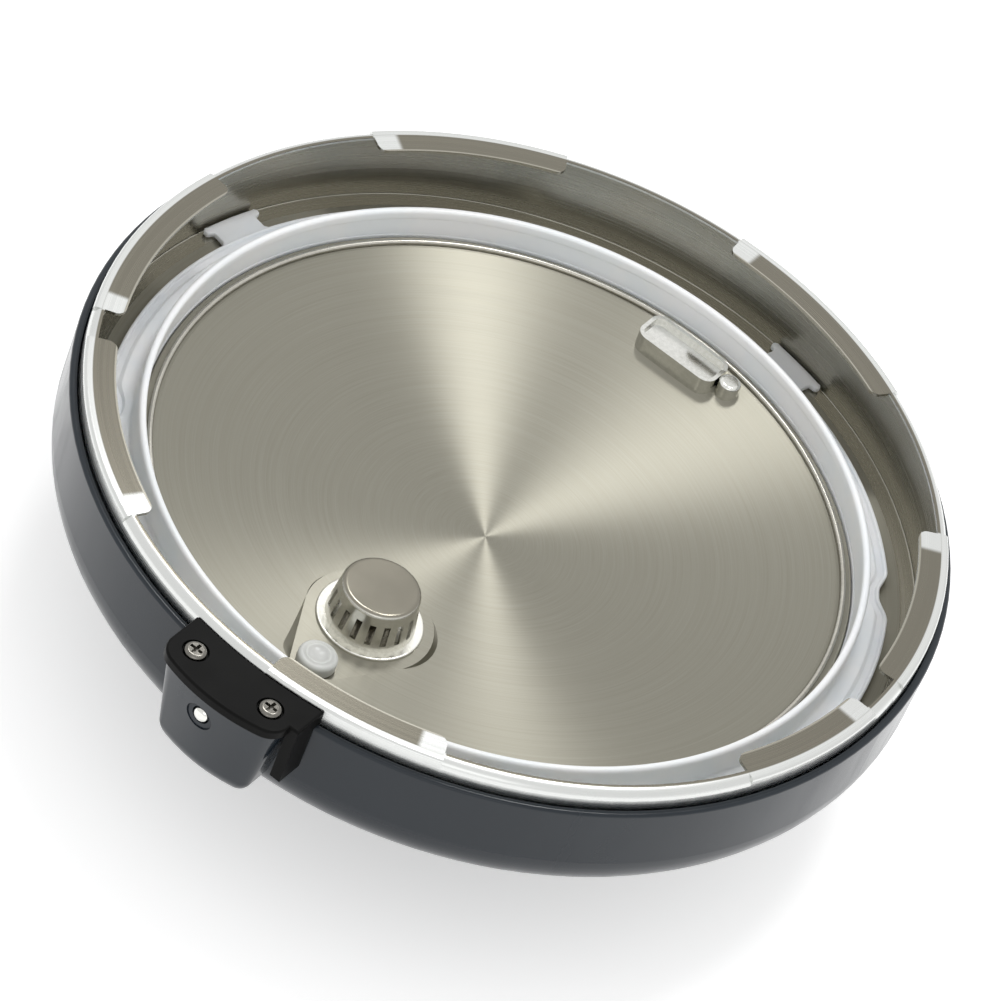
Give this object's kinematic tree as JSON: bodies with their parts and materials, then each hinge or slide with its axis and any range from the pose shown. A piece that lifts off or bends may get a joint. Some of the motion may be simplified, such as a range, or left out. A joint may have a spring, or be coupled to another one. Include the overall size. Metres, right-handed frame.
{
  "type": "pressure cooker lid with sealing ring",
  "caption": "Round bayonet lid of a stovetop pressure cooker, underside up, with a tabbed silicone sealing ring, a slotted filter cap, a float valve and a side ear.",
  "frame": {"origin": "centre of the top handle's flat, which the lid stands on, underside up", "axes": "+Z out of the lid's hollow; -Y through the steam vent to the ear; X along the top handle"},
  "size_m": [0.2696, 0.286, 0.0875],
  "materials": {
    "silicone": "milky translucent silicone",
    "brushed_disc": "brushed in circles",
    "polished_steel": "polished",
    "satin_steel": "satin",
    "dark_gloss": "glossy dark blue-grey",
    "black_satin": "satin",
    "brass": "turned"
  },
  "bodies": {
    "lid": {"lid_pan": "brushed_disc", "lid_rim": "brushed_disc", "disc_hoop": "polished_steel", "edge_bracket": "polished_steel", "bracket_stud": "polished_steel", "outer_cover": "dark_gloss", "top_handle": "black_satin", "handle_studs": "satin_steel", "handle_screws": "polished_steel", "ear_block": "dark_gloss", "ear_bracket": "satin_steel", "ear_plate": "black_satin", "plate_screws": "polished_steel", "lock_spring": "satin_steel", "vent_pipe": "satin_steel", "vent_gasket": "silicone", "vent_nut": "satin_steel", "float_bush": "black_satin", "valve_collar": "satin_steel"},
    "ring": {"sealing_ring": "silicone", "ring_lip": "silicone"},
    "cap": {"filter_cap": "satin_steel"},
    "float": {"float_pin": "satin_steel", "float_cap": "silicone"},
    "knob": {"release_knob": "black_satin"},
    "weight": {"valve_weight": "brass"},
    "pin": {"lock_pin": "polished_steel"}
  },
  "joints": [
    {"name": "ring_lift", "type": "slide", "parent": "lid", "child": "ring", "axis": [0, 0, 1], "range_m": [0, 0.06]},
    {"name": "cap_lift", "type": "slide", "parent": "lid", "child": "cap", "axis": [0, 0, 1], "range_m": [0, 0.025]},
    {"name": "float_travel", "type": "slide", "parent": "lid", "child": "float", "axis": [0, 0, 1], "range_m": [0, 0.005]},
    {"name": "knob_turn", "type": "hinge", "parent": "lid", "child": "knob", "pos_m": [0, -0.0625, 0.02], "axis": [0, 0, 1], "range_deg": [0, 60]},
    {"name": "weight_lift", "type": "slide", "parent": "lid", "child": "weight", "axis": [0, 0, -1], "range_m": [0, 0.002]},
    {"name": "pin_press", "type": "slide", "parent": "lid", "child": "pin", "axis": [0, -1, 0], "range_m": [0, 0.004], "stiffness_N_per_m": 300, "deforming": ["lock_spring"]}
  ],
  "couplings": [
    {"joint": "knob_turn", "follows": "weight_lift", "rad_per_m": 523.5}
  ]
}
